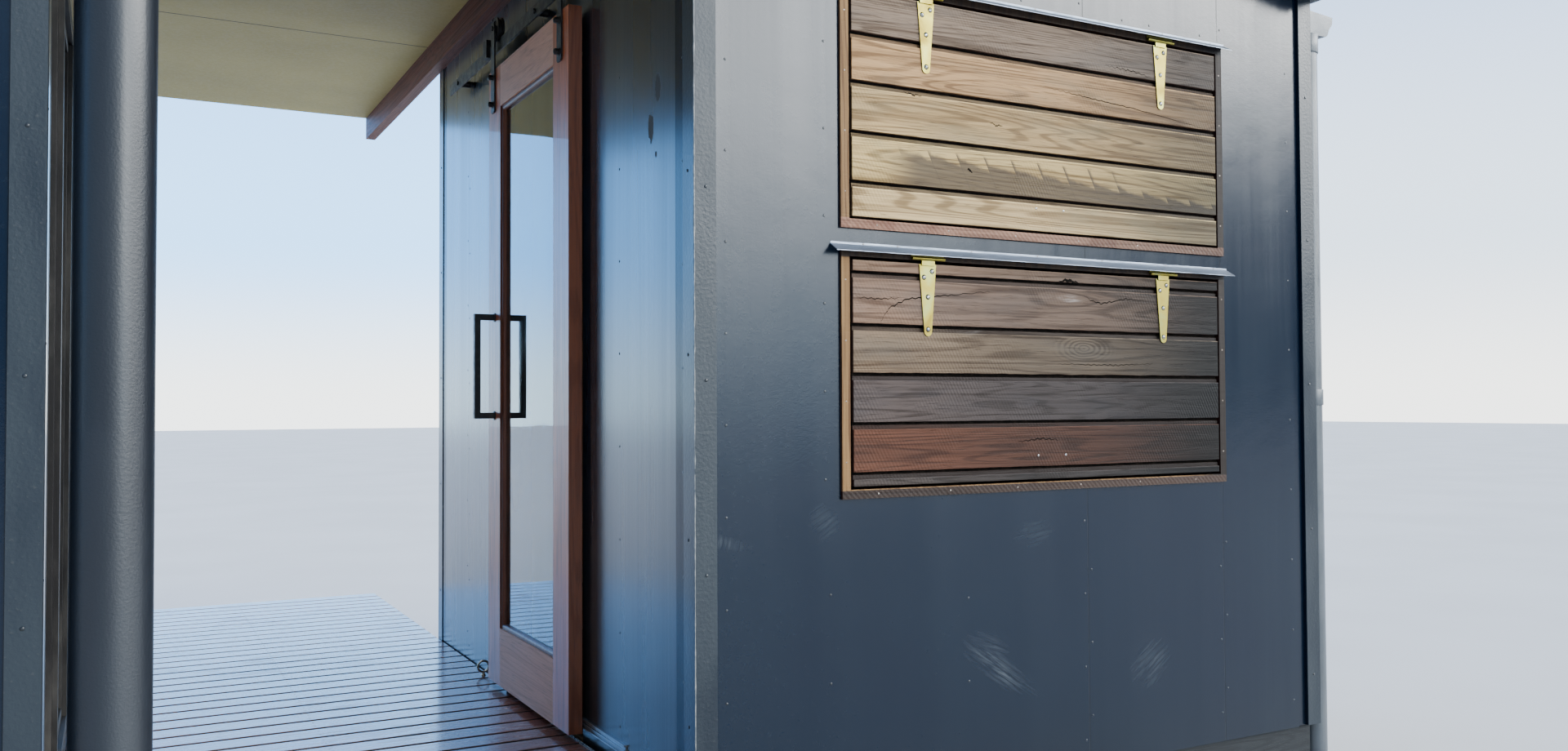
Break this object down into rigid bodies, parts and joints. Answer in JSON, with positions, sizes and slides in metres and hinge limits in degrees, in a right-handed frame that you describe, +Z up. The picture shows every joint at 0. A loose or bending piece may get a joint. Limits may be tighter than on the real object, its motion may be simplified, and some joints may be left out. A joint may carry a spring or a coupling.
{
  "type": "granny flat",
  "caption": "Raised granny flat of paired pods joined by a roofed timber deck, with a sliding glazed barn door and top-hinged servery hatches.",
  "frame": {"origin": "middle of the whole building at ground level", "axes": "+X to the right along the front walls, +Y from the front to the back, +Z up"},
  "size_m": [5.838, 4.1, 3.059],
  "materials": {
    "wall_paint": "satin blue-grey sheet cladding",
    "base_paint": "dark stained boards",
    "floor_ply": "sealed plywood",
    "trim_paint": "satin folded sheet",
    "hatch_timber": "weathered oiled hardwood shiplap boards",
    "batten_timber": "sawn hardwood battens",
    "flashing_metal": "folded sheet",
    "zinc_steel": "yellow zinc plated",
    "door_timber": "oiled reddish timber",
    "door_glass": "clear glass",
    "black_steel": "matt black",
    "deck_timber": "weathered oiled boards",
    "galvanised": "galvanised",
    "channel_metal": "mill finish",
    "beam_timber": "oiled reddish timber",
    "soffit_sheet": "cream painted sheet",
    "roof_metal": "painted roof sheet",
    "gutter_paint": "painted gutter",
    "column_paint": "charcoal painted tube",
    "window_metal": "powder coated frame",
    "window_glass": "clear glass"
  },
  "bodies": {
    "building": {"floors": "floor_ply", "base_boards": "base_paint", "front_wall_sides": "wall_paint", "front_wall_panels": "wall_paint", "left_front_wall": "wall_paint", "door_wall_sides": "wall_paint", "left_wall_sides": "wall_paint", "wall_heads": "wall_paint", "back_walls": "wall_paint", "outer_walls": "wall_paint", "corner_trims": "trim_paint", "hatch_battens": "batten_timber", "flashings": "flashing_metal", "hinge_plates": "zinc_steel", "barn_rail": "black_steel", "rail_stops": "black_steel", "wall_channel": "channel_metal", "deck": "deck_timber", "deck_joists": "beam_timber", "deck_posts": "base_paint", "edge_angle": "galvanised", "eye_bolt": "galvanised", "roof_beams": "beam_timber", "soffit": "soffit_sheet", "roof_rafters": "beam_timber", "breezeway_roof": "roof_metal", "pod_roofs": "roof_metal", "barge_caps": "gutter_paint", "column": "column_paint", "gutters": "gutter_paint", "downpipes": "gutter_paint", "window_frame": "window_metal", "window_glass": "window_glass"},
    "door": {"door_stiles": "door_timber", "door_rails": "door_timber", "door_glass": "door_glass", "door_beads": "door_timber", "door_handle": "black_steel", "door_hangers": "black_steel"},
    "near_wheel": {"near_wheel": "black_steel"},
    "far_wheel": {"far_wheel": "black_steel"},
    "upper_hatch": {"upper_hatch_boards": "hatch_timber", "upper_hinge_straps": "zinc_steel"},
    "lower_hatch": {"lower_hatch_boards": "hatch_timber", "lower_hinge_straps": "zinc_steel"}
  },
  "joints": [
    {"name": "door_slide", "type": "slide", "parent": "building", "child": "door", "axis": [0, -1, 0], "range_m": [-0.045, 0.695]},
    {"name": "near_wheel_spin", "type": "hinge", "parent": "door", "child": "near_wheel", "pos_m": [0.604, -1.123, 2.6383], "axis": [1, 0, 0], "continuous": true},
    {"name": "far_wheel_spin", "type": "hinge", "parent": "door", "child": "far_wheel", "pos_m": [0.604, -0.4215, 2.6383], "axis": [1, 0, 0], "continuous": true},
    {"name": "upper_hatch_lift", "type": "hinge", "parent": "building", "child": "upper_hatch", "pos_m": [1.702, -1.944, 2.407], "axis": [-1, 0, 0], "range_deg": [0, 80]},
    {"name": "lower_hatch_lift", "type": "hinge", "parent": "building", "child": "lower_hatch", "pos_m": [1.702, -1.944, 1.733], "axis": [-1, 0, 0], "range_deg": [0, 80]}
  ],
  "couplings": [
    {"joint": "near_wheel_spin", "follows": "door_slide", "rad_per_m": 28.571},
    {"joint": "far_wheel_spin", "follows": "door_slide", "rad_per_m": 28.571}
  ]
}
